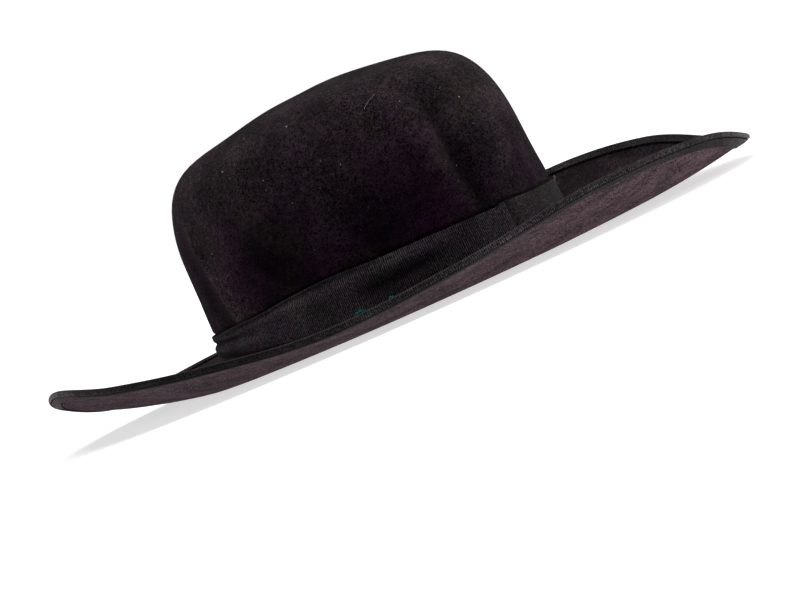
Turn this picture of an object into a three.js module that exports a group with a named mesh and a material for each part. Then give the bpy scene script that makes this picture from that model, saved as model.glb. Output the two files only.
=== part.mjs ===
// A wide-brimmed felt hat with a round open crown, a ribbon band and a ribbon-bound brim.
// Millimetres. +X is the wearer's left, -Y the front and +Z up. The hat stands on the flat ring
// of the brim's underside around the head opening, at z = 0.
// A direction is measured in degrees from the front, turning towards the wearer's left.
import * as THREE from "three";

// Head oval, on the outside of the crown
const HALF_WIDTH = 84;
const HALF_LENGTH = 101;

// Felt
const FELT_THICKNESS = 2.2;
const COVE_RADIUS = 5; // the rounded inside corner between crown and brim

// Crown
const CROWN_HEIGHT = 124.2; // in the middle of the top
const SHOULDER_HEIGHT = 45; // the dome starts here, on top of the wall
const SHOULDER_POWER = 3.5; // 2 would be a half ellipse, more makes a squarer shoulder
const WALL_TAPER = 0.01; // share of the oval lost between the cove and the shoulder
const TAPER_POWER = 2;
const TOP_TILT = 0.038; // the top climbs this much for each millimetre towards the front
const TOP_SAG = 2.8; // how far the top sinks halfway out from its middle

// Ribbons
const RIBBON_THICKNESS = 1;
const GAP = 0.3; // between ribbon and felt
const BINDING_ABOVE = 4; // its width on the brim's upper face
const BINDING_BELOW = 7; // and underneath

// Hat band
const BAND_FOOT = 4; // heights above the floor
const BAND_HEAD = 31;
const BAND_HEAD_STAND_OFF = 1.5; // outer face to felt, at the head and at the foot of the band
const BAND_FOOT_STAND_OFF = 3.4;
const BAND_SWELL_POWER = 1.5; // how late the band swells on the way down
const BAND_WALL = 1.5;
const LAP_THICKNESS = 1.4;
const LAP = { from: 343, to: 28, ramp: 4 }; // degrees: the ribbon's end lies over its start here

// Brim
const FLAT_RING = 13; // the underside is flat this far out from the head oval
const BRIM = [
  { direction: 0, reach: 103, rise: 19.5, curl: 1.65 },
  { direction: 22.5, reach: 102.5, rise: 9, curl: 2.15 },
  { direction: 45, reach: 101.5, rise: 10.5, curl: 2.2 },
  { direction: 67.5, reach: 100.5, rise: 25, curl: 2.15 },
  { direction: 90, reach: 99.5, rise: 29.5, curl: 2.05 },
  { direction: 112.5, reach: 98, rise: 22, curl: 2 },
  { direction: 135, reach: 97, rise: 14.5, curl: 2 },
  { direction: 157.5, reach: 95.5, rise: 11, curl: 2 },
  { direction: 180, reach: 93, rise: 10, curl: 1.9 },
  { direction: 202.5, reach: 90.5, rise: 23, curl: 1.4 },
  { direction: 225, reach: 89, rise: 31.5, curl: 1.3 },
  { direction: 247.5, reach: 90, rise: 24.5, curl: 1.35 },
  { direction: 270, reach: 93, rise: 16.5, curl: 1.35 },
  { direction: 292.5, reach: 96.5, rise: 9.9, curl: 1.25 },
  { direction: 315, reach: 99.5, rise: 13.8, curl: 1.1 },
  { direction: 337.5, reach: 101.5, rise: 21.7, curl: 1.15 },
];

// Dents (depth above 0) and ridges (below 0) pressed into the crown's wall. Across is half the
// width round the crown, along is half the height, and slant is how many degrees the fold turns
// towards the wearer's right for each millimetre up.
const CROWN_FOLDS = [
  { direction: 240, height: 56, depth: -1.6, across: 5, along: 34, slant: 0.18 },
  { direction: 232, height: 54, depth: 2, across: 8, along: 32, slant: 0.18 },
  { direction: 273, height: 47, depth: 3, across: 20, along: 22, slant: 0 },
  { direction: 292, height: 50, depth: -1, across: 12, along: 20, slant: 0 },
  { direction: 306, height: 44, depth: 3, across: 18, along: 20, slant: 0 },
  { direction: 327.5, height: 72, depth: -1.5, across: 9, along: 34, slant: 0.06 },
  { direction: 336, height: 62, depth: 3, across: 9, along: 32, slant: 0.06 },
];

// Creases that run along the band, a row for each stretch between two directions
const BAND_CREASES = [
  { from: 205, to: 262, height: 17, endHeight: 10, depth: 1.6, across: 2.6 },
  { from: 205, to: 236, height: 23, endHeight: 24, depth: 0.8, across: 1.8 },
  { from: 258, to: 318, height: 13, endHeight: 21, depth: 1.3, across: 3.2 },
];
const CREASE_RAMP = 14; // degrees over which a crease fades out at each end

// Facets
const SECTORS = 80; // round the hat
const OUTER_STEPS = { dome: 13, wall: 5, cove: 3 };
const INNER_STEPS = { dome: 8, wall: 3, cove: 2 };
const OUTER_BRIM_SHARES = [0.07, 0.25, 0.42, 0.57, 0.71, 0.84];
const INNER_BRIM_SHARES = [0.07, 0.42, 0.74];
const BAND_ROWS = 9;
const EDGE_ARC_STEPS = 4;
const SLOPE_STEP = 0.01; // how far apart points are taken to find a slope

// Colours
const FELT_COLOUR = 0x1e181b;
const BAND_COLOUR = 0x1b1a1c;
const BINDING_COLOUR = 0x242422;
const FELT_ROUGHNESS = 0.95;
const RIBBON_ROUGHNESS = 0.75;

const RIGHT_ANGLE = Math.PI / 2;
const FULL_TURN = 360;
const HALF_TURN = 180;

// The brim's table as one closed smooth curve: reach, rise and curl in its x, y and z
const brimCurve = new THREE.CatmullRomCurve3(
  BRIM.map((row) => new THREE.Vector3(row.reach, row.rise, row.curl)),
  true,
  "catmullrom",
);

const shareOfTurn = (direction) => THREE.MathUtils.euclideanModulo(direction, FULL_TURN) / FULL_TURN;

function brimAt(direction) {
  const { x: reach, y: rise, z: curl } = brimCurve.getPoint(shareOfTurn(direction));
  return { reach, rise, curl };
}

// Shortest way round from one direction to another, in degrees, positive towards the wearer's left
const turnTo = (from, to) => FULL_TURN * shareOfTurn(to - from + HALF_TURN) - HALF_TURN;

// Way round towards the wearer's left from one direction to another, in degrees
const wayRound = (from, to) => FULL_TURN * shareOfTurn(to - from);

const bell = (offset, halfWidth) => Math.exp(-((offset / halfWidth) ** 2));

function ovalPoint(direction) {
  const angle = THREE.MathUtils.degToRad(direction);
  return new THREE.Vector2(HALF_WIDTH * Math.sin(angle), -HALF_LENGTH * Math.cos(angle));
}

function ovalNormal(direction) {
  const angle = THREE.MathUtils.degToRad(direction);
  return new THREE.Vector2(HALF_LENGTH * Math.sin(angle), -HALF_WIDTH * Math.cos(angle)).normalize();
}

// How deep the crown is pressed in at a place on its wall
function foldDepth(direction, height) {
  const millimetresPerDegree = ovalPoint(direction).length() * THREE.MathUtils.DEG2RAD;
  return CROWN_FOLDS.reduce((sum, fold) => {
    const middle = fold.direction - fold.slant * (height - fold.height);
    const across = turnTo(middle, direction) * millimetresPerDegree;
    return sum + fold.depth * bell(across, fold.across) * bell(height - fold.height, fold.along);
  }, 0);
}

// A point of the crown's outside, from the share of the head oval it keeps and its height
function crownPoint(direction, spread, height) {
  const oval = ovalPoint(direction).multiplyScalar(spread);
  const pressed = ovalNormal(direction).multiplyScalar(-foldDepth(direction, height) * spread);
  const tilted = -TOP_TILT * oval.y * (1 - spread ** 2);
  return new THREE.Vector3(oval.x + pressed.x, oval.y + pressed.y, height + tilted);
}

function wallPoint(direction, height) {
  const spread = 1 - WALL_TAPER * (height / SHOULDER_HEIGHT) ** TAPER_POWER;
  return crownPoint(direction, spread, height);
}

// share 0 is the middle of the top and 1 the shoulder
function domePoint(direction, share) {
  const angle = share * RIGHT_ANGLE;
  const sides = Math.sin(angle) ** SHOULDER_POWER + Math.cos(angle) ** SHOULDER_POWER;
  const radius = sides ** (-1 / SHOULDER_POWER);
  const spread = (1 - WALL_TAPER) * radius * Math.sin(angle);
  const rise = (CROWN_HEIGHT - SHOULDER_HEIGHT) * radius * Math.cos(angle);
  const sag = TOP_SAG * Math.sin(Math.PI * spread) ** 2;
  return crownPoint(direction, spread, SHOULDER_HEIGHT + rise - sag);
}

// share 0 is the foot of the wall and 1 the start of the brim
function covePoint(direction, share) {
  const angle = share * RIGHT_ANGLE;
  const foot = wallPoint(direction, FELT_THICKNESS + COVE_RADIUS);
  const outwards = ovalNormal(direction).multiplyScalar(COVE_RADIUS * (1 - Math.cos(angle)));
  const height = FELT_THICKNESS + COVE_RADIUS * (1 - Math.sin(angle));
  return new THREE.Vector3(foot.x + outwards.x, foot.y + outwards.y, height);
}

// The brim's upper face at a distance out from the head oval
function brimPoint(direction, distance) {
  const { reach, rise, curl } = brimAt(direction);
  const raised = Math.max(0, distance - FLAT_RING) / (reach - FLAT_RING);
  const start = covePoint(direction, 1);
  const outwards = ovalNormal(direction).multiplyScalar(distance - COVE_RADIUS);
  const height = FELT_THICKNESS + rise * raised ** curl;
  return new THREE.Vector3(start.x + outwards.x, start.y + outwards.y, height);
}

// The felt's outer face as one surface: station 0 is the middle of the crown's top, 1 the
// shoulder, 2 the foot of the wall, 3 the start of the brim and 4 its edge
function feltPoint(direction, station) {
  if (station <= 1) return domePoint(direction, station);
  if (station <= 2) {
    const foot = FELT_THICKNESS + COVE_RADIUS;
    return wallPoint(direction, THREE.MathUtils.lerp(SHOULDER_HEIGHT, foot, station - 1));
  }
  if (station <= 3) return covePoint(direction, station - 2);
  return brimPoint(direction, THREE.MathUtils.lerp(COVE_RADIUS, brimAt(direction).reach, station - 3));
}

// Direction along the felt from the crown's top towards the brim's edge
function feltSlope(direction, station) {
  const section = Math.min(Math.floor(station), 3);
  const before = Math.max(station - SLOPE_STEP, section);
  const after = Math.min(station + SLOPE_STEP, section + 1);
  return feltPoint(direction, after).sub(feltPoint(direction, before)).normalize();
}

function feltNormal(direction, station) {
  const round = feltPoint(direction + SLOPE_STEP, station).sub(feltPoint(direction - SLOPE_STEP, station));
  return round.cross(feltSlope(direction, station)).normalize().negate();
}

const feltInside = (direction, station) =>
  feltPoint(direction, station).addScaledVector(feltNormal(direction, station), -FELT_THICKNESS);

// Where the inner edge of a binding strip lies on the brim
const bindingStation = (width) => (direction) => 4 - width / (brimAt(direction).reach - COVE_RADIUS);

// Stations from the crown's top to the brim's edge, without the middle of the top
function stations(steps, brimShares, bindingWidth) {
  const spaced = (start, count) => Array.from({ length: count }, (_, i) => start + (i + 1) / count);
  const crown = [...spaced(0, steps.dome), ...spaced(1, steps.wall), ...spaced(2, steps.cove)];
  const level = [...crown, ...brimShares.map((share) => 3 + share)];
  return [...level.map((station) => () => station), bindingStation(bindingWidth), () => 4];
}

const directions = Array.from({ length: SECTORS }, (_, i) => (i * FULL_TURN) / SECTORS);

// A closed solid from rings of points: each ring runs once round the hat. With caps the first and
// last rings close to a point each, without caps the last ring joins the first.
function solidFromRings(rings, caps) {
  const positions = rings.flat().flatMap((point) => point.toArray());
  const faces = [];
  const corner = (ring, sector) => (ring % rings.length) * SECTORS + (sector % SECTORS);
  const bands = caps ? rings.length - 1 : rings.length;
  for (let ring = 0; ring < bands; ring++) {
    for (let sector = 0; sector < SECTORS; sector++) {
      const [a, b] = [corner(ring, sector), corner(ring, sector + 1)];
      const [c, d] = [corner(ring + 1, sector + 1), corner(ring + 1, sector)];
      faces.push(a, d, b, b, d, c);
    }
  }
  if (caps) {
    const [first, last] = [rings.length * SECTORS, rings.length * SECTORS + 1];
    positions.push(...caps[0].toArray(), ...caps[1].toArray());
    for (let sector = 0; sector < SECTORS; sector++) {
      faces.push(first, corner(0, sector), corner(0, sector + 1));
      faces.push(last, corner(rings.length - 1, sector + 1), corner(rings.length - 1, sector));
    }
  }
  const geometry = new THREE.BufferGeometry();
  geometry.setAttribute("position", new THREE.Float32BufferAttribute(positions, 3));
  geometry.setIndex(faces);
  geometry.computeVertexNormals();
  return geometry;
}

function feltBody() {
  const outer = stations(OUTER_STEPS, OUTER_BRIM_SHARES, BINDING_ABOVE);
  const inner = stations(INNER_STEPS, INNER_BRIM_SHARES, BINDING_BELOW).reverse();
  const rings = [
    ...outer.map((station) => directions.map((d) => feltPoint(d, station(d)))),
    ...inner.map((station) => directions.map((d) => feltInside(d, station(d)))),
  ];
  const top = feltPoint(0, 0);
  const ceiling = top.clone().setZ(CROWN_HEIGHT - FELT_THICKNESS);
  return solidFromRings(rings, [top, ceiling]);
}

// 1 between two directions, fading to 0 over the ramp at each end
function between(direction, from, to, ramp) {
  const length = wayRound(from, to);
  const along = wayRound(from, direction);
  const inside = along <= length ? Math.min(along, length - along) : 0;
  return THREE.MathUtils.smoothstep(inside, 0, ramp);
}

// How deep the band is creased at a place on it
function creaseDepth(direction, height) {
  return BAND_CREASES.reduce((sum, crease) => {
    const share = wayRound(crease.from, direction) / wayRound(crease.from, crease.to);
    const middle = THREE.MathUtils.lerp(crease.height, crease.endHeight, share);
    const strength = between(direction, crease.from, crease.to, CREASE_RAMP);
    return sum + strength * crease.depth * bell(height - middle, crease.across);
  }, 0);
}

// The band's outer face, as a distance from the crown's wall
function bandStandOff(direction, height) {
  const down = (BAND_HEAD - height) / (BAND_HEAD - BAND_FOOT);
  const plain = THREE.MathUtils.lerp(BAND_HEAD_STAND_OFF, BAND_FOOT_STAND_OFF, down ** BAND_SWELL_POWER);
  const lapped = LAP_THICKNESS * between(direction, LAP.from, LAP.to, LAP.ramp);
  return plain + lapped - creaseDepth(direction, height);
}

// How far the cove's felt stands out of the wall at a height
function coveStandOff(height) {
  const below = FELT_THICKNESS + COVE_RADIUS - height;
  return below > 0 ? COVE_RADIUS - Math.sqrt(COVE_RADIUS ** 2 - below ** 2) : 0;
}

function bandPoint(direction, height, standOff) {
  const wall = wallPoint(direction, height);
  const outwards = ovalNormal(direction).multiplyScalar(standOff);
  return new THREE.Vector3(wall.x + outwards.x, wall.y + outwards.y, height);
}

function hatBand() {
  const heights = Array.from({ length: BAND_ROWS }, (_, i) =>
    THREE.MathUtils.lerp(BAND_HEAD, BAND_FOOT, i / (BAND_ROWS - 1)),
  );
  const outerRing = (height) => directions.map((d) => bandPoint(d, height, bandStandOff(d, height)));
  const innerRing = (height) =>
    directions.map((d) => {
      const clear = coveStandOff(height) + GAP;
      return bandPoint(d, height, Math.max(clear, bandStandOff(d, height) - BAND_WALL));
    });
  const innerHeights = heights.filter((_, i) => i % 2 === 0).reverse();
  return solidFromRings([...heights.map(outerRing), ...innerHeights.map(innerRing)]);
}

// The ribbon folded over the brim's edge: a flat strip above, an arc round the edge, a strip below
function brimBinding() {
  const strip = (width, offset) => (direction) => {
    const station = bindingStation(width)(direction);
    return feltPoint(direction, station).addScaledVector(feltNormal(direction, station), offset);
  };
  const arc = (radius, angle) => (direction) =>
    feltPoint(direction, 4)
      .addScaledVector(feltNormal(direction, 4), radius * Math.sin(angle) - FELT_THICKNESS / 2)
      .addScaledVector(feltSlope(direction, 4), radius * Math.cos(angle));
  const arcs = (radius, steps) =>
    Array.from({ length: steps + 1 }, (_, i) => arc(radius, RIGHT_ANGLE * (1 - (2 * i) / steps)));
  const outside = GAP + RIBBON_THICKNESS;
  const section = [
    strip(BINDING_ABOVE, outside),
    ...arcs(FELT_THICKNESS / 2 + outside, EDGE_ARC_STEPS),
    strip(BINDING_BELOW, -FELT_THICKNESS - outside),
    strip(BINDING_BELOW, -FELT_THICKNESS - GAP),
    ...arcs(FELT_THICKNESS / 2 + GAP, EDGE_ARC_STEPS / 2).reverse(),
    strip(BINDING_ABOVE, GAP),
  ];
  return solidFromRings(section.map((corner) => directions.map(corner)));
}

function piece(name, geometry, colour, roughness) {
  const material = new THREE.MeshStandardMaterial({ color: colour, roughness, metalness: 0 });
  const mesh = new THREE.Mesh(geometry, material);
  mesh.name = name;
  return mesh;
}

const hat = new THREE.Group();
hat.add(
  piece("felt_body", feltBody(), FELT_COLOUR, FELT_ROUGHNESS),
  piece("hat_band", hatBand(), BAND_COLOUR, RIBBON_ROUGHNESS),
  piece("brim_binding", brimBinding(), BINDING_COLOUR, RIBBON_ROUGHNESS),
);

// The middle of the footprint goes to x = 0 and y = 0
const footprint = new THREE.Box3().setFromObject(hat).getCenter(new THREE.Vector3());
hat.position.set(-footprint.x, -footprint.y, 0);

export default hat;
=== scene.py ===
import math

import bpy
import numpy as np
from mathutils import Matrix, Vector


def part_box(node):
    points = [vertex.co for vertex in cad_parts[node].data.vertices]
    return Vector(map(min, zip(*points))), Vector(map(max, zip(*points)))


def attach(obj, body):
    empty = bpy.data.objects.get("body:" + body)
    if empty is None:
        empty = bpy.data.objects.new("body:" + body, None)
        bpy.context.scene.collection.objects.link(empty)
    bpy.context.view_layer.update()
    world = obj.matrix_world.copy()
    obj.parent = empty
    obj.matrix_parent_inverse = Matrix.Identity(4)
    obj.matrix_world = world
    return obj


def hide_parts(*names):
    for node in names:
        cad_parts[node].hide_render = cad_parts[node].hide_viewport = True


# A wide-brimmed black felt hat with a creased ribbon band and a ribbon sewn over the brim's edge.
# Shapes are worked out in millimetres round the middle of the head oval, and each piece's points
# are placed in metres in the part's own frame. +X is the wearer's left, -Y the front, +Z up.
# A direction is in degrees from the front, turning towards the wearer's left.

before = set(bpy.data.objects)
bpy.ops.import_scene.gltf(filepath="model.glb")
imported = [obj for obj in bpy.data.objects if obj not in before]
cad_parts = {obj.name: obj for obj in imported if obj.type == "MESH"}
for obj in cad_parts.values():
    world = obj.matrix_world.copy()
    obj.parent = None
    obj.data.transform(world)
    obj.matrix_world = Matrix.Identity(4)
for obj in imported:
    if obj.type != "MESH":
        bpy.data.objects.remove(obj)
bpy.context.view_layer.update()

MM = 0.001
FULL_TURN = 360

# Head oval, on the outside of the crown
HALF_WIDTH = 84
HALF_LENGTH = 101

# Felt
FELT_THICKNESS = 2.2
COVE_RADIUS = 5
COVE_HEAD = FELT_THICKNESS + COVE_RADIUS

# Crown
CROWN_HEIGHT = 124.2
SHOULDER_HEIGHT = 45
SHOULDER_POWER = 3.5
WALL_TAPER = 0.01
TAPER_POWER = 2
TOP_TILT = 0.038
TOP_SAG = 2.8

# Brim: how far its edge reaches and rises, and the power of its upward curl outside the flat ring.
# Evenly spaced rows from the front: direction, reach, rise, curl
FLAT_RING = 13
BRIM = [
    (0, 103, 19.6, 1.65),
    (22.5, 102.5, 9.5, 2.15),
    (45, 101.5, 10.5, 2.2),
    (67.5, 100.5, 25, 2.15),
    (90, 99.5, 29.5, 2.05),
    (112.5, 98, 22, 2),
    (135, 97, 14.5, 2),
    (157.5, 95.5, 11, 2),
    (180, 93, 10, 2.2),
    (202.5, 90.5, 23, 1.62),
    (225, 89, 31.5, 1.3),
    (247.5, 90, 24.5, 1.35),
    (270, 93, 16.5, 1.35),
    (292.5, 96.5, 9.9, 1.25),
    (315, 99.5, 13.8, 1.1),
    (337.5, 101.5, 21.7, 1.15),
]

# The brim's edge is cut a little shorter towards the front left: middle, half width and amount
EDGE_TRIM = (24, 24, 1.5)

# Dents (depth above 0) and ridges (below 0) in the crown. Across is half the width round the crown,
# along half the height, and slant how many degrees the direction falls for each millimetre up.
# Rows: direction, height, depth, across, along, slant
CROWN_FOLDS = [
    (240, 56, -1.6, 5, 34, 0.18),
    (232, 54, 2, 8, 32, 0.18),
    (273, 47, 3, 20, 22, 0),
    (292, 50, -1, 12, 20, 0),
    (306, 44, 3, 18, 20, 0),
    (327.5, 72, -1.8, 9, 34, 0.06),
    (336, 62, 3.6, 8, 32, 0.06),
    (240.6, 55, -0.7, 1.4, 26, 0.18),
    (237.6, 55, 0.6, 2.2, 26, 0.18),
    (332.6, 68, -0.5, 3, 30, 0.06),
    (35, 32, -1.9, 24, 18, 0),
    (225, 105, -1.3, 30, 10, 0),
    (20, 112, -1, 34, 10, 0),
    (219, 113, -1.2, 28, 6, 0),
]

# Painted shade (strength above 0) and painted light (below 0) on the crown's felt, in rows like the folds'
PAINTED_SHADE_MARKS = [
    (244, 44, -2.4, 8, 18, 0.18),
    (242.6, 44, -1.7, 2.6, 20, 0.18),
    (271, 62, 1.1, 17, 20, 0),
    (240, 92, 0.7, 17, 22, 0),
    (284, 50, -0.35, 9, 12, 0),
]

# Crown skin: slow, shallow unevenness of hand-blocked felt
SKIN_DEPTH = 0.25
SKIN_WAVES = 14
SKIN_LENGTHS = (22, 60)
SKIN_SEED = 188

# Sectors and rings of the felt's mesh, closer together where the ribbons press on it. Wall stops
# are heights, and edge stops are distances from the brim's edge.
SECTORS = 400
DOME_RINGS = 34
WALL_STOPS = [
    43.2, 41.4, 39.6, 37.8, 36.4, 35.4, 34.6, 34, 33.4, 32.8, 32.2, 31.6, 31,
    30.4, 29.8, 29.2, 28.6, 28, 27.2, 26, 23.8, 20.5, 16.5, 12.5, 9.5, 7.2,
]
COVE_RINGS = 6
BRIM_RINGS = 17
EDGE_STOPS = [12, 9.6, 7.9, 7.1, 6.3, 5.5, 5, 4.7, 4.4, 4.1, 3.8, 3.1, 2, 1, 0]
# Where the sectors are closer together: middle, half width and how much closer
FINE_DIRECTIONS = [(241, 9, 1.7), (333, 9, 1)]
QUARTER_DEGREES = 4 * FULL_TURN

# Stations, as felt_point counts them: the brim's edge, and where the crown's unevenness fades out
BRIM_EDGE = 4.0
CROWN_FADE = (1.5, 2.2)

# The ribbons' press on the felt: its depth, its distance past the ribbon's edge and its half width
BAND_PRESS = (0.9, 0.4, 1)
BINDING_PRESS = (0.7, 0.45, 0.5)

# How much painted shade a place gets: the depths of a fold and of a crease that count as 1, the
# painted shade of the line pressed along the band, the most that a dent counts, and the range that is kept
FOLD_FULL_SHADE = 2.5
CREASE_FULL_SHADE = 1.6
PRESS_SHADE = 1.6
DENT_SHADE_LIMIT = 1.2
PAINTED_SHADE_RANGE = (-4, 1.8)


def lerp(start, end, share):
    return start + (end - start) * share


def bell(offset, half_width):
    return np.exp(-((offset / half_width) ** 2))


def swells(rows, place):
    """The sum of smooth swells (size above 0) and grooves (below 0): middle, size, half width."""
    return sum(size * bell(place - middle, half_width) for middle, size, half_width in rows)


def smooth_step(value, start, end):
    share = np.clip((value - start) / (end - start), 0, 1)
    return share * share * (3 - 2 * share)


def turn_to(start, end):
    """Shortest way round from one direction to another, in degrees."""
    return np.mod(end - start + FULL_TURN / 2, FULL_TURN) - FULL_TURN / 2


def way_round(start, end):
    return np.mod(end - start, FULL_TURN)


def closed_curve(rows, direction):
    """A smooth closed curve through evenly spaced rows of a direction and its values, at directions."""
    rows = np.asarray(rows, float)[:, 1:]
    place = np.mod(direction, FULL_TURN) / FULL_TURN * len(rows)
    first = np.floor(place).astype(int)
    t = (place - first)[..., None]
    before, start, end, after = (rows[(first + step) % len(rows)] for step in (-1, 0, 1, 2))
    leave = (end - before) / 2
    arrive = (after - start) / 2
    bend = 3 * (end - start) - 2 * leave - arrive
    twist = 2 * (start - end) + leave + arrive
    return start + leave * t + bend * t**2 + twist * t**3


def oval_point(direction):
    angle = np.radians(direction)
    return np.stack([HALF_WIDTH * np.sin(angle), -HALF_LENGTH * np.cos(angle)], -1)


def oval_normal(direction):
    angle = np.radians(direction)
    normal = np.stack([HALF_LENGTH * np.sin(angle), -HALF_WIDTH * np.cos(angle)], -1)
    return normal / np.linalg.norm(normal, axis=-1, keepdims=True)


def soft_marks(rows, direction, height):
    """The sum of soft oval marks on the crown, each as strong as its row says in its middle."""
    mm_per_degree = np.linalg.norm(oval_point(direction), axis=-1) * math.radians(1)
    total = 0
    for middle, level, strength, across, along, slant in rows:
        offset = turn_to(middle - slant * (height - level), direction) * mm_per_degree
        total = total + strength * bell(offset, across) * bell(height - level, along)
    return total


def fold_depth(direction, height):
    return soft_marks(CROWN_FOLDS, direction, height)


def crown_point(direction, spread, height):
    """A point of the crown's outside, from the share of the head oval it keeps and its height."""
    spread = np.asarray(spread)[..., None]
    depth = fold_depth(direction, height)[..., None]
    flat = oval_point(direction) * spread
    tilt = -TOP_TILT * flat[..., 1:] * (1 - spread**2)
    pressed = flat - oval_normal(direction) * depth * spread
    return np.concatenate([pressed, np.asarray(height)[..., None] + tilt], -1)


def wall_point(direction, height):
    return crown_point(direction, 1 - WALL_TAPER * (height / SHOULDER_HEIGHT) ** TAPER_POWER, height)


def dome_point(direction, share):
    """Share 0 is the middle of the crown's top and 1 its shoulder."""
    angle = share * math.pi / 2
    sides = np.sin(angle) ** SHOULDER_POWER + np.abs(np.cos(angle)) ** SHOULDER_POWER
    radius = sides ** (-1 / SHOULDER_POWER)
    spread = (1 - WALL_TAPER) * radius * np.sin(angle)
    rise = (CROWN_HEIGHT - SHOULDER_HEIGHT) * radius * np.cos(angle)
    sag = TOP_SAG * np.sin(math.pi * spread) ** 2
    return crown_point(direction, spread, SHOULDER_HEIGHT + rise - sag)


def cove_point(direction, share):
    """Share 0 is the foot of the crown's wall and 1 the start of the brim."""
    angle = (share * math.pi / 2)[..., None]
    foot = wall_point(direction, np.full(np.shape(direction), float(COVE_HEAD)))
    flat = foot[..., :2] + oval_normal(direction) * COVE_RADIUS * (1 - np.cos(angle))
    return np.concatenate([flat, FELT_THICKNESS + COVE_RADIUS * (1 - np.sin(angle))], -1)


def brim_rows(direction):
    """The brim's reach, rise and curl at a direction."""
    reach, rise, curl = np.moveaxis(closed_curve(BRIM, direction), -1, 0)
    middle, half_width, amount = EDGE_TRIM
    return reach - amount * bell(turn_to(middle, direction), half_width), rise, curl


def brim_point(direction, share):
    """Share 0 is the start of the brim and 1 its edge."""
    reach, rise, curl = brim_rows(direction)
    distance = lerp(COVE_RADIUS, reach, share)
    raised = np.clip((distance - FLAT_RING) / (reach - FLAT_RING), 0, None)
    start = cove_point(direction, np.ones(np.shape(direction)))
    flat = start[..., :2] + oval_normal(direction) * (distance - COVE_RADIUS)[..., None]
    return np.concatenate([flat, (FELT_THICKNESS + rise * raised**curl)[..., None]], -1)


def felt_point(direction, station):
    """The felt's outer face as one surface: station 0 is the middle of the crown's top, 1 the
    shoulder, 2 the foot of the wall, 3 the start of the brim and 4 its edge."""
    direction, station = np.broadcast_arrays(np.asarray(direction, float), station)
    share = [np.clip(station - start, 0, 1) for start in range(4)]
    sections = [
        dome_point(direction, share[0]),
        wall_point(direction, lerp(SHOULDER_HEIGHT, COVE_HEAD, share[1])),
        cove_point(direction, share[2]),
    ]
    zones = [(station <= end)[..., None] for end in (1, 2, 3)]
    return np.select(zones, sections, brim_point(direction, share[3]))


def unit(vectors):
    return vectors / np.maximum(np.linalg.norm(vectors, axis=-1, keepdims=True), 1e-12)


def path_lengths(points):
    """The distance along a path to each of its points."""
    return np.concatenate([[0], np.cumsum(np.linalg.norm(np.diff(points, axis=0), axis=-1))])


def felt_axes(direction, station):
    """The felt's point there, the way out of its face and the way along it towards the edge."""
    step = 0.01
    section = np.minimum(np.floor(station), 3)
    before = np.maximum(station - step, section)
    after = np.minimum(station + step, section + 1)
    slope = unit(felt_point(direction, after) - felt_point(direction, before))
    around = felt_point(direction + step, station) - felt_point(direction - step, station)
    return felt_point(direction, station), unit(np.cross(slope, around)), slope


def hat_place():
    """Where the head oval's middle lies in the part's frame, found by the brim's outline."""
    directions = np.linspace(0, FULL_TURN, SECTORS)
    top, out, _ = felt_axes(directions, np.full(SECTORS, BRIM_EDGE))
    outline = np.concatenate([top, top - FELT_THICKNESS * out])
    low, high = (np.array(corner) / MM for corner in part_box("felt_body"))
    middle = (outline.min(0) + outline.max(0)) / 2
    return np.array([(low[0] + high[0]) / 2 - middle[0], high[1] - outline[:, 1].max(), 0])


HAT_PLACE = hat_place()


# Meshes


def read_points(piece):
    flat = np.empty(len(piece.data.vertices) * 3)
    piece.data.vertices.foreach_get("co", flat)
    return flat.reshape(-1, 3)


def write_points(piece, points):
    piece.data.vertices.foreach_set("co", points.ravel())
    piece.data.update()


def place_points(piece, points):
    """Moves a piece's vertices to points in millimetres round the head oval's middle."""
    write_points(piece, (points + HAT_PLACE) * MM)


def finish_with(piece, kind, **settings):
    modifier = piece.modifiers.new(kind.title(), kind)
    for name, value in settings.items():
        setattr(modifier, name, value)
    bpy.context.view_layer.objects.active = piece
    bpy.ops.object.modifier_apply(modifier=modifier.name)


def dress(piece, name, node, material):
    """Smooths and names a finished piece, gives it its material and puts it in its CAD node's place."""
    piece.data.polygons.foreach_set("use_smooth", [True] * len(piece.data.polygons))
    piece.name = piece.data.name = name
    piece.data.materials.clear()
    piece.data.materials.append(material)
    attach(piece, "root")
    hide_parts(node)


def joined(pieces):
    """Joins pieces into the first of them."""
    for piece in pieces:
        piece.select_set(True)
    bpy.context.view_layer.objects.active = pieces[0]
    bpy.ops.object.join()
    return pieces[0]


def mark_painted_shade(piece, depth):
    """Keeps the painted shade at each vertex: 1 in a crease, 0 where plain, below 0, painted light, on a
    ridge.
    """
    layer = piece.data.attributes.new("painted_shade", "FLOAT", "POINT")
    layer.data.foreach_set("value", np.clip(depth, *PAINTED_SHADE_RANGE))


def fine_directions():
    """A direction for each sector, closer together at the crown's sharp folds."""
    place = np.linspace(0, FULL_TURN, QUARTER_DEGREES + 1)
    density = np.ones(len(place))
    for middle, half_width, more in FINE_DIRECTIONS:
        density += more * bell(turn_to(middle, place), half_width)
    total = np.concatenate([[0], np.cumsum((density[1:] + density[:-1]) / 2)])
    return np.interp(np.linspace(0, total[-1], SECTORS + 1), total, place)


def skin_offset(points):
    """Slow unevenness over the crown, as a distance out of its face."""
    chance = np.random.default_rng(SKIN_SEED)
    offset = np.zeros(len(points))
    for _ in range(SKIN_WAVES):
        way = unit(chance.normal(size=3))
        length = chance.uniform(*SKIN_LENGTHS)
        offset += np.sin(points @ way * 2 * math.pi / length + chance.uniform(0, 2 * math.pi))
    return SKIN_DEPTH * offset / math.sqrt(SKIN_WAVES)


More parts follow.
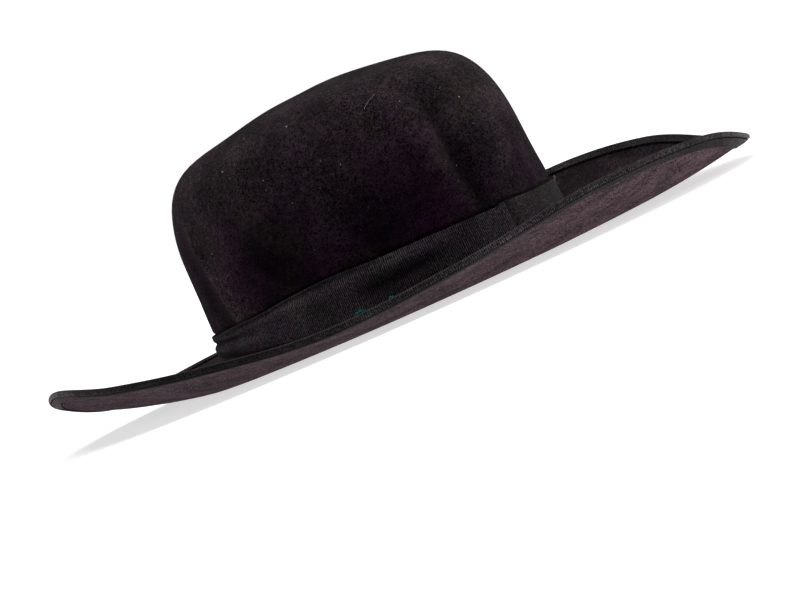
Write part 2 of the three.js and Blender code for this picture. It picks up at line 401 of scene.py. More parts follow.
def ring_stations(direction, ring):
    """The station of each vertex of the disc, from its direction and the number of its ring."""
    wall = [1 + (SHOULDER_HEIGHT - stop) / (SHOULDER_HEIGHT - COVE_HEAD) for stop in WALL_STOPS]
    crown = [*np.linspace(0, 1, DOME_RINGS + 1), *wall, *np.linspace(2, 3, COVE_RINGS + 1)[1:]]
    width = brim_rows(direction)[0] - COVE_RADIUS
    past_crown = ring - (len(crown) - 1)
    inner = 3 + np.clip(past_crown / BRIM_RINGS, 0, 1) * (1 - EDGE_STOPS[0] / width)
    from_edge = np.interp(past_crown - BRIM_RINGS, range(len(EDGE_STOPS)), EDGE_STOPS)
    outer = BRIM_EDGE - from_edge / width
    station = np.where(past_crown <= BRIM_RINGS, inner, outer)
    return np.where(past_crown <= 0, np.interp(ring, range(len(crown)), crown), station)


def felt_disc():
    """A flat round disc of rings 1 mm apart, as felt is before it is blocked."""
    bpy.ops.object.select_all(action="DESELECT")
    bpy.ops.mesh.primitive_circle_add(vertices=SECTORS, radius=MM, fill_type="TRIFAN")
    disc = bpy.context.object
    bpy.ops.object.mode_set(mode="EDIT")
    bpy.ops.mesh.select_all(action="SELECT")
    bpy.ops.mesh.region_to_loop()
    rings = DOME_RINGS + len(WALL_STOPS) + COVE_RINGS + BRIM_RINGS + len(EDGE_STOPS) - 1
    for ring in range(1, rings):
        bpy.ops.mesh.extrude_edges_move()
        bpy.ops.transform.resize(value=(1 + 1 / ring,) * 3)
    bpy.ops.object.mode_set(mode="OBJECT")
    return disc


def ribbon_press(direction, station, height):
    """How much the felt's outer face is pulled in along the band's head and along the binding."""
    above_band = height - band_head(direction) - lap_raise(direction)
    on_wall = (station > 1) & (station < 2)
    width = brim_rows(direction)[0] - COVE_RADIUS
    past_binding = (BRIM_EDGE - station) * width - BINDING_ABOVE
    near_edge = station > 3.5
    at_band = bell(above_band - BAND_PRESS[1], BAND_PRESS[2]) * on_wall
    return at_band, bell(past_binding - BINDING_PRESS[1], BINDING_PRESS[2]) * near_edge


def felt_body(material):
    disc = felt_disc()
    flat = read_points(disc) / MM
    ring = np.round(np.hypot(flat[:, 0], flat[:, 1]))
    turn = np.mod(np.degrees(np.arctan2(flat[:, 0], -flat[:, 1])), FULL_TURN)
    sectors = np.linspace(0, FULL_TURN, SECTORS + 1)
    direction = np.interp(turn, sectors, fine_directions())
    station = ring_stations(direction, ring)
    points, out, _ = felt_axes(direction, station)
    points[ring == 0] = felt_point(0, 0)
    out[ring == 0] = (0, 0, 1)
    on_crown = 1 - smooth_step(station, *CROWN_FADE)
    height = points[:, 2]
    # Painted shade in the crown's dents and along the band's head, painted light on its ridges, and the
    # marks' painted light and shade
    marks = fold_depth(direction, height) / FOLD_FULL_SHADE + soft_marks(PAINTED_SHADE_MARKS, direction, height)
    at_band, at_binding = ribbon_press(direction, station, height)
    mark_painted_shade(disc, on_crown * np.minimum(marks, DENT_SHADE_LIMIT) + PRESS_SHADE * at_band)
    points += out * (skin_offset(points) * on_crown)[:, None]
    place_points(disc, points)
    finish_with(disc, "SOLIDIFY", thickness=FELT_THICKNESS * MM, offset=-1)
    both_faces = read_points(disc)
    press = BAND_PRESS[0] * at_band + BINDING_PRESS[0] * at_binding
    both_faces[: len(points)] -= out * press[:, None] * MM
    write_points(disc, both_faces)
    dress(disc, "felt_crown_and_brim", "felt_body", material)


def spun_hoop(section, radius, steps, turn=FULL_TURN, start=0):
    """A section of (out, up) points spun round the hat's axis as a plain round hoop."""
    bpy.ops.object.select_all(action="DESELECT")
    angle = math.radians(start)
    way = Vector((math.sin(angle), -math.cos(angle), 0))
    spots = [way * (radius + out) * MM + Vector((0, 0, up)) * MM for out, up in section]
    bpy.ops.mesh.primitive_plane_add(size=MM, location=spots[0])
    hoop = bpy.context.object
    bpy.ops.object.transform_apply(location=True)
    bpy.ops.object.mode_set(mode="EDIT")
    bpy.ops.mesh.select_all(action="SELECT")
    bpy.ops.mesh.merge(type="CENTER")
    for before, after in zip(spots, spots[1:]):
        bpy.ops.mesh.extrude_region_move(TRANSFORM_OT_translate={"value": after - before})
    bpy.ops.mesh.select_all(action="SELECT")
    bpy.ops.mesh.spin(steps=steps, angle=-math.radians(turn), center=(0, 0, 0), axis=(0, 0, 1))
    bpy.ops.mesh.select_all(action="SELECT")
    bpy.ops.mesh.remove_doubles(threshold=MM / 1000)
    bpy.ops.object.mode_set(mode="OBJECT")
    return hoop


def hoop_places(hoop, section, radius, start=0):
    """Each vertex's direction on a plain hoop, and the number of its point in the section."""
    points = read_points(hoop) / MM
    turn = np.degrees(np.arctan2(points[:, 0], -points[:, 1]))
    slack = 1e-3
    direction = start + np.mod(turn - start + slack, FULL_TURN) - slack
    spot = np.stack([np.hypot(points[:, 0], points[:, 1]) - radius, points[:, 2]], -1)
    gaps = np.linalg.norm(spot[:, None] - np.asarray(section)[None], axis=-1)
    return direction, gaps.argmin(1)


def face_out(piece, inside):
    """Turns a piece's faces away from a place inside it, given for each vertex."""
    away = read_points(piece) - inside
    balance = sum(Vector(away[face.vertices[0]]).dot(face.normal) for face in piece.data.polygons)
    if balance < 0:
        piece.data.flip_normals()


def lay_out(piece, along, across, length):
    """Gives a ribbon a flat layout in metres: along its length, which may close, and across it."""
    layer = piece.data.uv_layers.new(name="ribbon")
    corner = np.empty(len(piece.data.loops), int)
    piece.data.loops.foreach_get("vertex_index", corner)
    u = along[corner].reshape(-1, 4)
    u = np.where((u.max(1, keepdims=True) - u > length / 2), u + length, u)
    flat = np.stack([u.ravel(), across[corner]], -1) * MM
    layer.data.foreach_set("uv", flat.ravel())


# Hat band

BAND_FOOT = 3.4
PLAIN_HEAD = 30
# Direction and height of the ribbon's upper edge
BAND_HEAD = [
    (0, 30.2), (15, 30.1), (30, 30), (45, 30), (60, 30), (75, 30), (90, 30), (105, 29.9),
    (120, 29.8), (135, 29.6), (150, 29.4), (165, 28.8), (180, 28), (195, 27), (210, 26.6), (225, 26.8),
    (240, 28), (255, 28.8), (270, 31.2), (285, 32.3), (300, 31.5), (315, 31.3), (330, 30.9), (345, 30.4),
]
BAND_HEAD_STAND_OFF = 1.3
BAND_FOOT_STAND_OFF = 3.2
BAND_SWELL_POWER = 1.5
BAND_RIBBON = 0.6
BAND_ROWS = 48
BAND_STEPS = 560

# Creases (depth above 0) and rolls (below 0) that run along the band between two directions.
# Rows: start, end, height at the start, height at the end, depth, half width, ramp
BAND_CREASES = [
    (190, 254, 22.6, 21.8, 1.3, 1.1, 16),
    (190, 262, 18.8, 17, -0.8, 2.4, 16),
    (200, 268, 19.8, 7.8, 1.6, 1.3, 12),
    (192, 258, 12.2, 7, -0.8, 2, 14),
    (280, 326, 15.8, 21.8, 1, 3, 18),
    (234, 326, 25, 26.5, -0.9, 3.2, 26),
    (280, 342, 11, 14, 0.4, 2.6, 20),
    (287, 334, 17.6, 20, 0.8, 6, 16),
    (288, 345, 8, 9, -0.4, 2, 20),
    (60, 190, 16, 13, 0.9, 3, 20),
    (100, 200, 22, 23, 0.6, 2.4, 20),
    (30, 110, 20, 15, 0.5, 2.6, 16),
]
# Where the ribbon's upper edge is rolled out over a groove (start, end, ramp), and the roll and the
# groove by their distance below the edge
ROLLED_EDGE = (222, 305, 24)
EDGE_ROLL = [(0.4, 0.55, 0.7), (2, -0.9, 0.9)]

# The lapped end comes out of the band at its start, and its upper edge stands above the band's
LAP_START = 343
LAP_END = 388
LAP_STEPS = 90
LAP_SINK = -0.35
LAP_LIFT = 0.75
LAP_LIFT_RAMP = 7
LAP_RAISE = 1.2
LAP_RAISE_PAST = 0.3
LAP_RAISE_RAMP = 16


def between(direction, start, end, ramp):
    """1 between two directions, fading to 0 over the ramp at each end."""
    length = way_round(start, end)
    along = way_round(start, direction)
    inside = np.where(along <= length, np.minimum(along, length - along), 0)
    return smooth_step(inside, 0, ramp)


def crease_depth(direction, height):
    depth = 0
    for start, end, level, end_level, deep, across, ramp in BAND_CREASES:
        middle = lerp(level, end_level, way_round(start, direction) / way_round(start, end))
        strength = between(direction, start, end, ramp)
        depth = depth + strength * deep * bell(height - middle, across)
    return depth


def band_head(direction):
    return closed_curve(BAND_HEAD, direction)[..., 0]


def lap_raise(direction):
    """How far the lapped end's upper edge stands above the band's, 0 where there is no lap."""
    along = way_round(LAP_START, direction)
    raised = lerp(LAP_RAISE, LAP_RAISE_PAST, smooth_step(along, 0, LAP_RAISE_RAMP))
    return np.where(along <= LAP_END - LAP_START, raised, 0)


def lap_lift(direction):
    """How far the lapped end lies out from the band."""
    return lerp(LAP_SINK, LAP_LIFT, smooth_step(direction, LAP_START, LAP_START + LAP_LIFT_RAMP))


def band_stand_off(direction, share, head):
    """The band's outer face as a distance from the crown's wall. Share 0 is its head, 1 its foot."""
    height = lerp(head, BAND_FOOT, share)
    plain = lerp(BAND_HEAD_STAND_OFF, BAND_FOOT_STAND_OFF, share**BAND_SWELL_POWER)
    rolled = between(direction, *ROLLED_EDGE) * swells(EDGE_ROLL, head - height)
    return plain - crease_depth(direction, height) + rolled


def band_point(direction, share, head, lift):
    height = lerp(head, BAND_FOOT, share)
    wall = wall_point(direction, height)
    off = band_stand_off(direction, share, head) + lift
    wall[..., :2] += oval_normal(direction) * off[..., None]
    return wall


def length_round(direction):
    """Distance round the crown's foot from the front to a direction, up to two turns on."""
    fine = np.linspace(0, 2 * FULL_TURN, 2 * QUARTER_DEGREES + 1)
    return np.interp(direction, fine, path_lengths(oval_point(fine)))


def band_strip(name, material, steps, start=0, end=FULL_TURN, lapped=False):
    """The band's ribbon from one direction to another, or its lapped end."""
    rows = np.linspace(0, 1, BAND_ROWS)
    section = [(0, lerp(PLAIN_HEAD, BAND_FOOT, share)) for share in rows]
    strip = spun_hoop(section, HALF_LENGTH, steps, end - start, start)
    direction, row = hoop_places(strip, section, HALF_LENGTH, start)
    head = band_head(direction) + lapped * lap_raise(direction)
    place_points(strip, band_point(direction, rows[row], head, lapped * lap_lift(direction)))
    face_out(strip, read_points(strip) * (0, 0, 1) + HAT_PLACE * MM)
    width = band_head(direction) - BAND_FOOT
    height = BAND_FOOT + width * (1 - rows[row])
    # Painted shade in the band's creases and painted light on its rolls
    mark_painted_shade(strip, crease_depth(direction, height) / CREASE_FULL_SHADE)
    lay_out(strip, length_round(direction), rows[row] * width, length_round(FULL_TURN))
    finish_with(strip, "SOLIDIFY", thickness=BAND_RIBBON * MM, offset=-1)
    dress(strip, name, "hat_band", material)


# Binding of the brim's edge

BINDING_ABOVE = 4
BINDING_BELOW = 7
BINDING_RIBBON = 0.55
BINDING_CLEARANCE = 0.1
BINDING_HALF = FELT_THICKNESS / 2 + BINDING_CLEARANCE + BINDING_RIBBON
BINDING_STEPS = 600
BINDING_HOOP = 190
BINDING_MIDDLE = 2  # from the felt's edge inwards to a place between the ribbon's two sides
QUARTER_ARC = BINDING_HALF * math.pi / 2
STITCH_LINE = QUARTER_ARC - 0.45

# Points of the section above the felt, round its edge and below it
SECTION_POINTS = (15, 15, 27)

# The bead, the stitches' groove, the padding under the brim and the two selvedges, by their
# distance round the section down from its middle
BINDING_RELIEF = [
    (-0.3, 0.3, 2.4),
    (STITCH_LINE, -0.6, 0.42),
    (QUARTER_ARC + 3.2, 0.2, 2),
    (-QUARTER_ARC - 3.8, 0.2, 0.4),
    (QUARTER_ARC + 6.7, 0.15, 0.4),
]

# Where the ribbon is narrower under the brim (start, end, ramp), and the share of width it loses there
NARROW_STRIP = (130, 330, 60)
NARROWED_BY = 0.45


def binding_section():
    """The ribbon's outer face in (out, up) round the felt's edge, from above to below."""
    above = np.linspace(-BINDING_ABOVE, 0, SECTION_POINTS[0])
    arc = np.radians(np.linspace(90, -90, SECTION_POINTS[1]))[1:-1]
    below = np.linspace(0, -BINDING_BELOW, SECTION_POINTS[2])
    return np.array(
        [(out, BINDING_HALF) for out in above]
        + [(BINDING_HALF * math.cos(angle), BINDING_HALF * math.sin(angle)) for angle in arc]
        + [(out, -BINDING_HALF) for out in below]
    )


def edge_axes(direction):
    """The middle of the felt's edge, the way out of its upper face and the way outwards."""
    top, up, out = felt_axes(direction, np.full(np.shape(direction), BRIM_EDGE))
    return top - up * FELT_THICKNESS / 2, up, out


def edge_lengths():
    """Directions round the brim, and the distance along its edge to each of them."""
    directions = np.linspace(0, FULL_TURN, BINDING_STEPS + 1)
    return directions, path_lengths(edge_axes(directions)[0])


def binding_point(direction, spot, normal, around, extra=0):
    """A point of the binding: its place and normal in the section, laid on the brim there."""
    middle, up, out = edge_axes(direction)
    lifted = spot + normal * (swells(BINDING_RELIEF, around) + extra)[:, None]
    strip_share = 1 - NARROWED_BY * between(direction, *NARROW_STRIP)
    lifted[:, 0] *= np.where((lifted[:, 0] < 0) & (lifted[:, 1] < 0), strip_share, 1)
    flat = np.clip(lifted[:, 0], None, 0)
    station = BRIM_EDGE + flat / (brim_rows(direction)[0] - COVE_RADIUS)
    top, up_there, _ = felt_axes(direction, station)
    on_strip = top - up_there * FELT_THICKNESS / 2 + up_there * lifted[:, 1:]
    on_edge = middle + out * lifted[:, :1] + up * lifted[:, 1:]
    return np.where(lifted[:, :1] < 0, on_strip, on_edge)


def brim_binding(material):
    section = binding_section()
    hoop = spun_hoop(section, BINDING_HOOP, BINDING_STEPS)
    direction, number = hoop_places(hoop, section, BINDING_HOOP)
    across = path_lengths(section)
    around = across - BINDING_ABOVE - QUARTER_ARC
    normals = unit(np.gradient(section, axis=0))[:, ::-1] * (-1, 1)
    place_points(hoop, binding_point(direction, section[number], normals[number], around[number]))
    middle, _, out = edge_axes(direction)
    face_out(hoop, (middle - out * BINDING_MIDDLE + HAT_PLACE) * MM)
    directions, lengths = edge_lengths()
    lay_out(hoop, np.interp(direction, directions, lengths), across[number], lengths[-1])
    finish_with(hoop, "SOLIDIFY", thickness=BINDING_RIBBON * MM, offset=-1)
    dress(hoop, "binding_ribbon", "brim_binding", material)


# Stitches that hold the binding, in its groove under the brim's edge

STITCH_LENGTH = 1.7
STITCH_PITCH = 2.6
STITCH_RADIUS = 0.28
STITCH_SIDES = 8
STITCH_BEVEL = 0.15
STITCH_SINK = 0.12


def binding_stitches(material):
    directions, lengths = edge_lengths()
    count = round(lengths[-1] / STITCH_PITCH)
    bpy.ops.object.select_all(action="DESELECT")
    bpy.ops.mesh.primitive_cylinder_add(
        vertices=STITCH_SIDES, radius=STITCH_RADIUS * MM,
        depth=STITCH_LENGTH * MM, rotation=(0, math.pi / 2, 0),
    )
    stitch = bpy.context.object
    bpy.ops.object.transform_apply(rotation=True)
    finish_with(
        stitch, "BEVEL", width=STITCH_BEVEL * MM, segments=1,
        limit_method="ANGLE", angle_limit=math.radians(60),
    )
    step = lengths[-1] / count * MM
    finish_with(
        stitch, "ARRAY", count=count, use_relative_offset=False,
        use_constant_offset=True, constant_offset_displace=(step, 0, 0),
    )
    flat = read_points(stitch) / MM
    direction = np.interp(np.mod(flat[:, 0], lengths[-1]), lengths, directions)
    groove = np.full(len(flat), STITCH_LINE)
    turn = (groove + flat[:, 1]) / BINDING_HALF
    normal = np.stack([np.cos(turn), -np.sin(turn)], -1)
    stand = flat[:, 2] - STITCH_SINK
    place_points(stitch, binding_point(direction, normal * BINDING_HALF, normal, groove, stand))
    dress(stitch, "binding_stitches", "brim_binding", material)


# A stray hair and specks of fluff on the crown, and loose threads on the band

THREAD_SIDES = 6
THREAD_STEPS = 24
THREAD_RADIUS = 0.16
HAIR_RADIUS = 0.11
# Direction and station
HAIR_WAY = [(316, 0.573), (317, 0.563), (319, 0.55), (321, 0.541), (322.5, 0.533)]
# Direction, station and size
SPECKS = [
    (349.5, 0.673, 0.5), (288.5, 0.497, 0.42), (260, 0.563, 0.36), (301, 0.72, 0.3), (246, 0.83, 0.3),
    (328, 0.6, 0.28), (276, 0.66, 0.3), (336, 0.9, 0.28), (268, 0.45, 0.26),
]
# Paths of direction, height and distance from the crown's wall
TEAL_THREADS = [
    [
        (287.4, 10, 4.2), (288.1, 11.3, 4.8), (288.8, 9.8, 5),
        (289.2, 11.8, 4.8), (289.9, 10, 5), (290.9, 10.4, 4.2),
    ],
    [(287.8, 10.8, 4.6), (289, 10.6, 5.4), (290.3, 10.9, 4.8)],
    [(298.2, 10.4, 4.2), (298.9, 11.6, 4.6), (299.8, 10.8, 4.4)],
]
FRAYED_THREADS = [
    [(383, 28.5, 1.9), (385, 30, 2.4), (386.5, 31.5, 2.2), (388, 31.8, 2.8)],
    [(385, 29, 2), (386.5, 31, 3), (388, 30.5, 3.4), (389.5, 29.5, 3)],
    [(386, 30.2, 2), (387.5, 31.6, 2.6), (389.5, 30.6, 2.6), (390.5, 28, 2.2)],
    [(387.8, 27, 1.8), (389, 28, 3), (390, 26, 3.2), (390.8, 24, 2.2)],
    [(387.9, 22, 2), (389.4, 21.4, 2.8), (390.4, 19.6, 2.6), (391, 18, 2)],
    [(387.9, 13, 2.4), (389, 12.4, 3), (390.2, 11, 2.8), (390.8, 9.6, 2.4)],
]


def thin_tube():
    """A straight tube 1 mm long and 1 mm in radius, cut into short lengths."""
    bpy.ops.object.select_all(action="DESELECT")
    bpy.ops.mesh.primitive_cylinder_add(vertices=THREAD_SIDES, radius=MM, depth=MM, end_fill_type="NGON")
    tube = bpy.context.object
    bpy.ops.object.mode_set(mode="EDIT")
    for place in range(1, THREAD_STEPS):
        bpy.ops.mesh.select_all(action="SELECT")
        bpy.ops.mesh.bisect(plane_co=(0, 0, (place / THREAD_STEPS - 0.5) * MM), plane_no=(0, 0, 1))
    bpy.ops.object.mode_set(mode="OBJECT")
    return tube


def follow(path, share):
    """The values of a path's points, straight from one to the next, at shares of its length."""
    knots = np.linspace(0, 1, len(path))
    return [np.interp(share, knots, values) for values in zip(*path)]


def stray_hair(material):
    hair = thin_tube()
    flat = read_points(hair) / MM
    turns, stations = follow(HAIR_WAY, flat[:, 2] + 0.5)
    points, out, slope = felt_axes(turns, stations)
    across = np.cross(out, slope)
    lift = out * (flat[:, 1:2] * HAIR_RADIUS + HAIR_RADIUS + SKIN_DEPTH)
    place_points(hair, points + across * flat[:, :1] * HAIR_RADIUS + lift)
    dress(hair, "stray_hair", "felt_body", material)


def loose_threads(name, paths, radius, material):
    """Loose ends of thread on the band, each along its path, as one piece."""
    threads = []
    for path in paths:
        thread = thin_tube()
        flat = read_points(thread) / MM
        turns, heights, lifts = follow(path, flat[:, 2] + 0.5)
        way_out = np.concatenate([oval_normal(turns), np.zeros((len(flat), 1))], -1)
        middle = wall_point(turns, heights) + way_out * lifts[:, None]
        round_it = way_out * flat[:, :1] + np.array([0, 0, 1]) * flat[:, 1:2]
        place_points(thread, middle + round_it * radius)
        threads.append(thread)
    dress(joined(threads), name, "hat_band", material)


def fluff_specks(material):
    specks = []
    for turn, station, size in SPECKS:
        points, out, _ = felt_axes(np.array([turn]), np.array([station]))
        bpy.ops.object.select_all(action="DESELECT")
        bpy.ops.mesh.primitive_ico_sphere_add(subdivisions=2, radius=size * MM)
        speck = bpy.context.object
        shape = read_points(speck) / MM
        place_points(speck, points + out * SKIN_DEPTH + shape)
        specks.append(speck)
    dress(joined(specks), "fluff_specks", "felt_body", material)


# Shader helpers


def fill(tree, socket, value):
    """Gives an input a plain value or another node's output."""
    if isinstance(value, bpy.types.NodeSocket):
        tree.links.new(value, socket)
    else:
        socket.default_value = value


def add(tree, kind, inputs=None, **settings):
    """Adds a node, sets it and fills its inputs."""
    node = tree.nodes.new(kind)
    for name, value in settings.items():
        setattr(node, name, value)
    for name, value in (inputs or {}).items():
        fill(tree, node.inputs[name], value)
    return node


def separate(tree, vector):
    return add(tree, "ShaderNodeSeparateXYZ", {"Vector": vector}).outputs


def calculate(tree, operation, first, second=0.0, clamp=False):
    return add(tree, "ShaderNodeMath", {0: first, 1: second}, operation=operation, use_clamp=clamp).outputs[0]


def multiply(tree, first, second, clamp=False):
    return calculate(tree, "MULTIPLY", first, second, clamp)


def remap(tree, value, low, high, to_low=0.0, to_high=1.0):
    inputs = {"Value": value, "From Min": low, "From Max": high, "To Min": to_low, "To Max": to_high}
    return add(tree, "ShaderNodeMapRange", inputs).outputs["Result"]


def mix_colours(tree, share, first, second, blend="MIX"):
    node = add(tree, "ShaderNodeMix", data_type="RGBA", blend_type=blend)
    for name, value in {"Factor": share, "A": first, "B": second}.items():
        fill(tree, next(s for s in node.inputs if s.name == name and s.enabled), value)
    return next(s for s in node.outputs if s.enabled)


def noise(tree, vector, scale, detail=2.0, roughness=0.5):
    inputs = {"Vector": vector, "Scale": scale, "Detail": detail, "Roughness": roughness}
    return add(tree, "ShaderNodeTexNoise", inputs).outputs["Fac"]


def effect_group(name, inputs, outputs):
    """An empty shader group with named inputs (kind and first value) and number outputs."""
    tree = bpy.data.node_groups.new(name, "ShaderNodeTree")
    for label, kind, value in inputs:
        socket = tree.interface.new_socket(label, in_out="INPUT", socket_type=kind)
        if value is not None:
            socket.default_value = value
    for label in outputs:
        tree.interface.new_socket(label, in_out="OUTPUT", socket_type="NodeSocketFloat")
    return tree, tree.nodes.new("NodeGroupInput").outputs, tree.nodes.new("NodeGroupOutput").inputs


VECTOR = "NodeSocketVector"
NUMBER = "NodeSocketFloat"


def scale_colour(tree, colour, share):
    grey = add(tree, "ShaderNodeCombineXYZ", {0: share, 1: share, 2: share}).outputs[0]
    return mix_colours(tree, 1.0, colour, grey, "MULTIPLY")


def hollow_shade(tree, strength):
    """A share of light: below 1 in a piece's creases and above 1 on its ridges."""
    painted_shade = add(tree, "ShaderNodeAttribute", attribute_name="painted_shade").outputs["Fac"]
    return calculate(tree, "SUBTRACT", 1.0, multiply(tree, painted_shade, strength))


def ridges(tree, value):
    """Thin curling lines where a noise value passes its middle: 1 on a line, falling to 0."""
    off = calculate(tree, "ABSOLUTE", calculate(tree, "SUBTRACT", value, 0.5))
    return calculate(tree, "SUBTRACT", 1.0, multiply(tree, off, 7.0), clamp=True)


def nap_group():
    """Short curled fibres with broad brushed patches, as a tone and as a height."""
    tree, given, result = effect_group(
        "felt_nap",
        [("Vector", VECTOR, None), ("Curl Scale", NUMBER, 620), ("Patch Scale", NUMBER, 42)],
        ["Tone", "Height"],
    )
    place, scale = given["Vector"], given["Curl Scale"]
    curls = ridges(tree, noise(tree, place, scale, 2.0, 0.6))
    tips = remap(tree, noise(tree, place, multiply(tree, scale, 2.6), 2.0, 0.7), 0.36, 0.66)
    clumps = remap(tree, noise(tree, place, multiply(tree, scale, 0.6), 2.0, 0.6), 0.35, 0.65)
    patches = remap(tree, noise(tree, place, given["Patch Scale"], 3.0, 0.55), 0.32, 0.68)
    shares = [(curls, 0.3), (tips, 0.38), (clumps, 0.14), (patches, 0.18)]
    parts = [multiply(tree, part, share) for part, share in shares]
    short = calculate(tree, "ADD", parts[0], parts[1])
    tone = calculate(tree, "ADD", short, calculate(tree, "ADD", parts[2], parts[3]))
    tree.links.new(tone, result["Tone"])
    tree.links.new(calculate(tree, "ADD", short, parts[2]), result["Height"])
    return tree


def lint_group():
    """Sparse small flecks, as a mask."""
    tree, given, result = effect_group(
        "lint",
        [
            ("Vector", VECTOR, None), ("Spacing", NUMBER, 0.008),
            ("Size", NUMBER, 0.0003), ("Share", NUMBER, 0.3),
        ],
        ["Mask"],
    )
    scale = calculate(tree, "DIVIDE", 1.0, given["Spacing"])
    cells = add(tree, "ShaderNodeTexVoronoi", {"Vector": given["Vector"], "Scale": scale})
    chance = add(tree, "ShaderNodeSeparateColor", {"Color": cells.outputs["Color"]})
    size = multiply(tree, given["Size"], remap(tree, chance.outputs["Green"], 0, 1, 0.4, 1.2))
    distance = multiply(tree, cells.outputs["Distance"], given["Spacing"])
    inside = calculate(tree, "LESS_THAN", distance, size)
    chosen = calculate(tree, "LESS_THAN", chance.outputs["Red"], given["Share"])
    tree.links.new(multiply(tree, inside, chosen), result["Mask"])
    return tree


def weave_group():
    """Fine ribs that run across a ribbon, uneven and worn, from the ribbon's flat layout."""
    tree, given, result = effect_group(
        "weave",
        [("Layout", VECTOR, None), ("Pitch", NUMBER, 0.001), ("Wear", NUMBER, 0.5)],
        ["Tone", "Height"],
    )
    place, pitch = given["Layout"], given["Pitch"]
    wobble = multiply(tree, noise(tree, place, 300, 2.0), pitch)
    turns = calculate(tree, "DIVIDE", calculate(tree, "ADD", separate(tree, place)["X"], wobble), pitch)
    ribs = remap(tree, calculate(tree, "SINE", multiply(tree, turns, 2 * math.pi)), -1, 1)
    specks = remap(tree, noise(tree, place, 1300, 2.0, 0.7), 0.38, 0.66)
    coarse = remap(tree, noise(tree, place, 620, 2.0, 0.6), 0.36, 0.64)
    fine = multiply(tree, specks, 0.6)
    broken = calculate(tree, "ADD", fine, multiply(tree, coarse, 0.4))
    ribbed = multiply(tree, ribs, calculate(tree, "ADD", broken, 0.5))
    worn_and_painted_light = multiply(tree, broken, given["Wear"])
    kept = multiply(tree, ribbed, calculate(tree, "SUBTRACT", 1.0, given["Wear"]))
    tone = calculate(tree, "ADD", worn_and_painted_light, kept)
    tree.links.new(tone, result["Tone"])
    tree.links.new(tone, result["Height"])
    return tree


def fill_group(tree, group, inputs):
    return add(tree, "ShaderNodeGroup", inputs, node_tree=group).outputs


def new_material(name, **settings):
    """A Principled material with plain values on the shader's own sockets, named with underscores."""
    material = bpy.data.materials.new(name)
    material.use_nodes = True
    shader = material.node_tree.nodes["Principled BSDF"]
    for label, value in settings.items():
        shader.inputs[label.replace("_", " ")].default_value = value
    return material, material.node_tree, shader


def felt_material(nap, lint):
    """Black felt, brown at the top, with painted shade in darker purple lower down and towards the wearer's
    right.
    """
    material, tree, shader = new_material(
        "black_felt", Roughness=0.95, Specular_IOR_Level=0.02,
        Sheen_Weight=0.04, Sheen_Roughness=0.4, Sheen_Tint=(1, 0.93, 0.96, 1),
    )
    coordinates = add(tree, "ShaderNodeTexCoord").outputs
    place = coordinates["Object"]
    axes = separate(tree, place)
    grain = fill_group(tree, nap, {"Vector": place})
    tone = calculate(tree, "POWER", remap(tree, grain["Tone"], 0.22, 0.78), 1.4)
    # Darker purple lower down and towards the wearer's right is painted shade
    lowness = remap(tree, axes["Z"], 0.1, 0.04)
    blotches = remap(tree, noise(tree, place, 26, 4.0, 0.65), 0.36, 0.62)
    share = calculate(tree, "ADD", multiply(tree, lowness, 0.65), 0.2)
    share = multiply(tree, share, remap(tree, axes["X"], 0.03, -0.05, 0.4, 1.15))
    painted_shade_purple = multiply(tree, blotches, share)
    tufts = remap(tree, noise(tree, place, 380, 2.0), 0.38, 0.62)
    browns = mix_colours(tree, tufts, (0.046, 0.034, 0.044, 1), (0.068, 0.05, 0.045, 1))
    light = mix_colours(tree, painted_shade_purple, browns, (0.044, 0.013, 0.044, 1))
    shaded = remap(tree, noise(tree, place, 34, 3.0, 0.6), 0.32, 0.66, 0.5, 1.2)
    # Painted shade in the folds and painted light on the ridges
    light = scale_colour(tree, light, multiply(tree, shaded, hollow_shade(tree, 0.5)))
    above = mix_colours(tree, tone, (0.0008, 0.0002, 0.001, 1), light)
    # The underside's much paler colour is painted light from below, brighter still towards the front
    grainy = remap(tree, tone, 0.12, 0.72)
    towards_back = remap(tree, axes["Y"], -0.02, 0.12)
    lit = mix_colours(tree, towards_back, (0.15, 0.095, 0.109, 1), (0.15, 0.089, 0.119, 1))
    below = mix_colours(tree, grainy, (0.004, 0.001, 0.003, 1), lit)
    mottled = remap(tree, noise(tree, place, 110, 3.0, 0.6), 0.34, 0.66, 0.78, 1.2)
    painted_light_towards_front = remap(tree, axes["Y"], 0.2, -0.13, 0.36, 1.13)
    below = scale_colour(tree, below, multiply(tree, mottled, painted_light_towards_front))
    under = remap(tree, separate(tree, coordinates["Normal"])["Z"], -0.5, -0.8)
    colour = mix_colours(tree, under, above, below)
    spread = remap(tree, under, 0, 1, 0.22, 0.6)
    flecks = fill_group(
        tree, lint, {"Vector": place, "Spacing": 0.004, "Size": 0.00027, "Share": spread}
    )
    pale = mix_colours(tree, under, (0.15, 0.135, 0.12, 1), (0.3, 0.26, 0.25, 1))
    colour = mix_colours(tree, flecks["Mask"], colour, pale)
    bump = add(tree, "ShaderNodeBump", {"Height": grain["Height"], "Strength": 1, "Distance": 0.0004})
    tree.links.new(colour, shader.inputs["Base Color"])
    tree.links.new(bump.outputs["Normal"], shader.inputs["Normal"])
    return material


